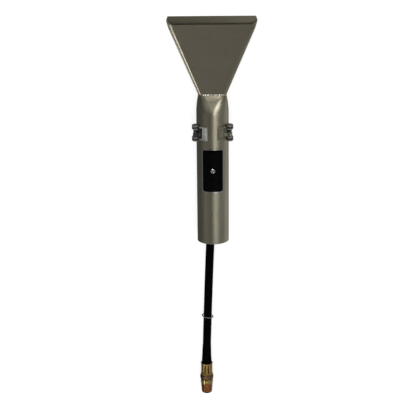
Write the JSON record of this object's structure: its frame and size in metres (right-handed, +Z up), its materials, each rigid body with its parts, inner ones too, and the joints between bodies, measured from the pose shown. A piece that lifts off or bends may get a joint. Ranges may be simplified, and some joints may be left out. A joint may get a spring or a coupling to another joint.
{
  "type": "spray extraction upholstery tool",
  "caption": "Hand-held steel spray-extraction cleaning tool: flared flat suction head on a round tube, thumb-operated spray valve, side latches and solution hose.",
  "frame": {"origin": "centre of the tool's footprint, on the surface it lies on, measured without the hose", "axes": "+Y along the tube towards the suction mouth, +Z up through the thumb control, +X to the right seen from the thumb side with the mouth away from the viewer"},
  "size_m": [0.1058, 0.4808, 0.0397],
  "materials": {
    "tube_steel": "satin brushed stainless steel",
    "front_steel": "satin brushed stainless sheet",
    "plate_steel": "satin brushed stainless sheet",
    "weld_steel": "weld bead, lightly dressed",
    "bezel_steel": "polished rolled steel edge",
    "pad_plastic": "black moulded plastic",
    "screw_steel": "bright steel",
    "lever_steel": "milled steel",
    "pin_steel": "ground steel",
    "valve_brass": "machined brass",
    "plunger_steel": "turned stainless steel",
    "seal_rubber": "nitrile O-ring",
    "spring_steel": "spring wire",
    "fitting_brass": "turned brass",
    "feed_steel": "drawn stainless tube",
    "latch_metal": "cast stainless steel, tumbled",
    "hose_rubber": "smooth black rubber hose",
    "ring_steel": "bright wire",
    "ferrule_brass": "crimped brass"
  },
  "bodies": {
    "tool": {"body_tube": "tube_steel", "head_front_shell": "front_steel", "head_rear_plate": "plate_steel", "neck_weld": "weld_steel", "control_bezel": "bezel_steel", "rocker_pin": "pin_steel", "valve_body": "valve_brass", "valve_spring": "spring_steel", "valve_screw_rear": "screw_steel", "valve_screw_front": "screw_steel", "inlet_nipple": "fitting_brass", "inlet_nut": "fitting_brass", "inlet_ferrule": "fitting_brass", "outlet_nut": "fitting_brass", "feed_tube": "feed_steel", "spray_manifold": "fitting_brass", "manifold_saddle": "plate_steel", "spray_jet_left": "fitting_brass", "spray_jet_right": "fitting_brass", "latch_lug_left": "latch_metal", "latch_lug_right": "latch_metal", "latch_pin_left": "pin_steel", "latch_pin_right": "pin_steel", "latch_spring_left": "spring_steel", "latch_spring_right": "spring_steel", "hose": "hose_rubber", "hose_ring": "ring_steel", "hose_ferrule": "ferrule_brass", "hose_end_fitting": "fitting_brass"},
    "rocker": {"thumb_pad": "pad_plastic", "pad_screw": "screw_steel", "rocker_lever": "lever_steel"},
    "plunger": {"valve_plunger": "plunger_steel", "plunger_seal": "seal_rubber"},
    "latch_left": {"latch_arm_left": "latch_metal"},
    "latch_right": {"latch_arm_right": "latch_metal"}
  },
  "joints": [
    {"name": "rocker_press", "type": "hinge", "parent": "tool", "child": "rocker", "pos_m": [0, -0.0423, 0.02655], "axis": [-1, 0, 0], "range_deg": [0, 5.5], "stiffness_Nm_per_rad": 0.3},
    {"name": "plunger_slide", "type": "slide", "parent": "tool", "child": "plunger", "axis": [0, 0, -1], "range_m": [0, 0.0015], "deforming": ["valve_spring"]},
    {"name": "latch_left_swing", "type": "hinge", "parent": "tool", "child": "latch_left", "pos_m": [-0.0203, 0.0021, 0.03155], "axis": [0, -1, 0], "range_deg": [0, 95], "stiffness_Nm_per_rad": 0.01, "deforming": ["latch_spring_left"]},
    {"name": "latch_right_swing", "type": "hinge", "parent": "tool", "child": "latch_right", "pos_m": [0.0203, 0.0021, 0.03155], "axis": [0, 1, 0], "range_deg": [0, 95], "stiffness_Nm_per_rad": 0.01, "deforming": ["latch_spring_right"]}
  ],
  "couplings": [
    {"joint": "plunger_slide", "follows": "rocker_press", "m_per_rad": 0.015}
  ]
}
